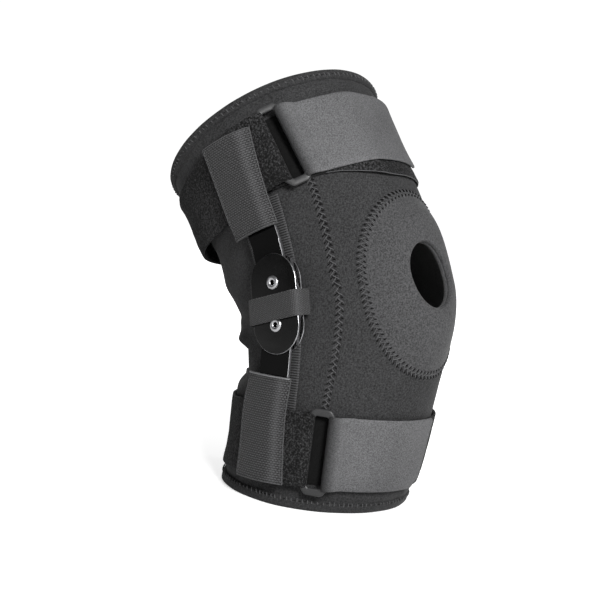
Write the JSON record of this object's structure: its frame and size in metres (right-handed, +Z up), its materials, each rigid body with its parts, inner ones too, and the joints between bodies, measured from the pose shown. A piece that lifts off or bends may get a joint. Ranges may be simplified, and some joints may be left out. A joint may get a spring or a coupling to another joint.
{
  "type": "knee brace",
  "caption": "Hinged neoprene knee sleeve with open kneecap, geared side hinges in pockets, and two ring-closed hook-and-loop straps.",
  "frame": {"origin": "centre of the shin opening, in the plane of the lower hem, on which the brace stands", "axes": "+Z up the shin, kneecap towards -Y, X along the hinge pins"},
  "size_m": [0.1572, 0.2061, 0.2635],
  "materials": {
    "neoprene": "matt knitted jersey over foam rubber, fine grain",
    "hem_binding": "folded neoprene edge with blind stitching",
    "woven_elastic": "ribbed woven elastic",
    "keeper_webbing": "plain woven webbing",
    "arm_steel": "gloss black coated spring steel",
    "cover_steel": "gloss black coated plate with bright rolled edge",
    "rivet_steel": "bright nickel plate",
    "washer_plastic": "natural acetal",
    "ring_plastic": "moulded nylon, satin",
    "hook_tape": "moulded hook tape",
    "buttress_foam": "soft moulded foam",
    "strap_face": "smooth laminated strap face with fine grain",
    "strap_pile": "brushed loop pile"
  },
  "bodies": {
    "shin": {"shin_front_panel": "neoprene", "shin_back_panel": "neoprene", "lower_hem": "hem_binding", "calf_strap": "strap_pile", "calf_strap_anchor_loop": "strap_pile", "right_lower_arm": "arm_steel", "right_lower_pocket": "woven_elastic", "left_lower_arm": "arm_steel", "left_lower_pocket": "woven_elastic"},
    "hinge_covers": {"knee_front_panel": "neoprene", "knee_back_panel": "neoprene", "patella_panel": "neoprene", "patella_buttress": "buttress_foam", "right_outer_cover": "cover_steel", "right_inner_cover": "cover_steel", "right_washers": "washer_plastic", "right_upper_rivet": "rivet_steel", "right_lower_rivet": "rivet_steel", "right_keeper_web": "keeper_webbing", "right_backing_tape": "woven_elastic", "left_outer_cover": "cover_steel", "left_inner_cover": "cover_steel", "left_washers": "washer_plastic", "left_upper_rivet": "rivet_steel", "left_lower_rivet": "rivet_steel", "left_keeper_web": "keeper_webbing", "left_backing_tape": "woven_elastic"},
    "thigh": {"thigh_front_panel": "neoprene", "thigh_back_panel": "neoprene", "upper_hem": "hem_binding", "thigh_strap": "strap_pile", "thigh_strap_anchor_loop": "strap_pile", "right_upper_arm": "arm_steel", "right_upper_pocket": "woven_elastic", "left_upper_arm": "arm_steel", "left_upper_pocket": "woven_elastic"},
    "calf_ring": {"calf_ring": "ring_plastic", "calf_strap_fold": "strap_face"},
    "calf_tail": {"calf_strap_tail": "strap_face", "calf_hook_patch": "hook_tape"},
    "thigh_ring": {"thigh_ring": "ring_plastic", "thigh_strap_fold": "strap_face"},
    "thigh_tail": {"thigh_strap_tail": "strap_face", "thigh_hook_patch": "hook_tape"}
  },
  "joints": [
    {"name": "lower_pivot", "type": "hinge", "parent": "shin", "child": "hinge_covers", "pos_m": [0, -0.001, 0.107], "axis": [-1, 0, 0], "range_deg": [-12, 27], "deforming": ["knee_front_panel", "knee_back_panel", "patella_panel", "patella_buttress", "right_backing_tape", "left_backing_tape"]},
    {"name": "upper_pivot", "type": "hinge", "parent": "hinge_covers", "child": "thigh", "pos_m": [0, 0.00589, 0.13103], "axis": [-1, 0, 0], "range_deg": [-12, 27]},
    {"name": "calf_ring_swing", "type": "hinge", "parent": "shin", "child": "calf_ring", "pos_m": [-0.05758, -0.02998, 0.0376], "axis": [0.0615, 0.029, -0.9977], "range_deg": [0, 18]},
    {"name": "calf_tail_peel", "type": "hinge", "parent": "calf_ring", "child": "calf_tail", "pos_m": [-0.05142, -0.04955, 0.03741], "axis": [0.0615, 0.029, -0.9977], "range_deg": [0, 80]},
    {"name": "thigh_ring_swing", "type": "hinge", "parent": "thigh", "child": "thigh_ring", "pos_m": [-0.06424, 0.02185, 0.20809], "axis": [0.1478, -0.5872, -0.7959], "range_deg": [0, 18]},
    {"name": "thigh_tail_peel", "type": "hinge", "parent": "thigh_ring", "child": "thigh_tail", "pos_m": [-0.05477, 0.00809, 0.22], "axis": [0.1478, -0.5872, -0.7959], "range_deg": [0, 80]}
  ],
  "couplings": [
    {"joint": "upper_pivot", "follows": "lower_pivot", "ratio": 1}
  ]
}
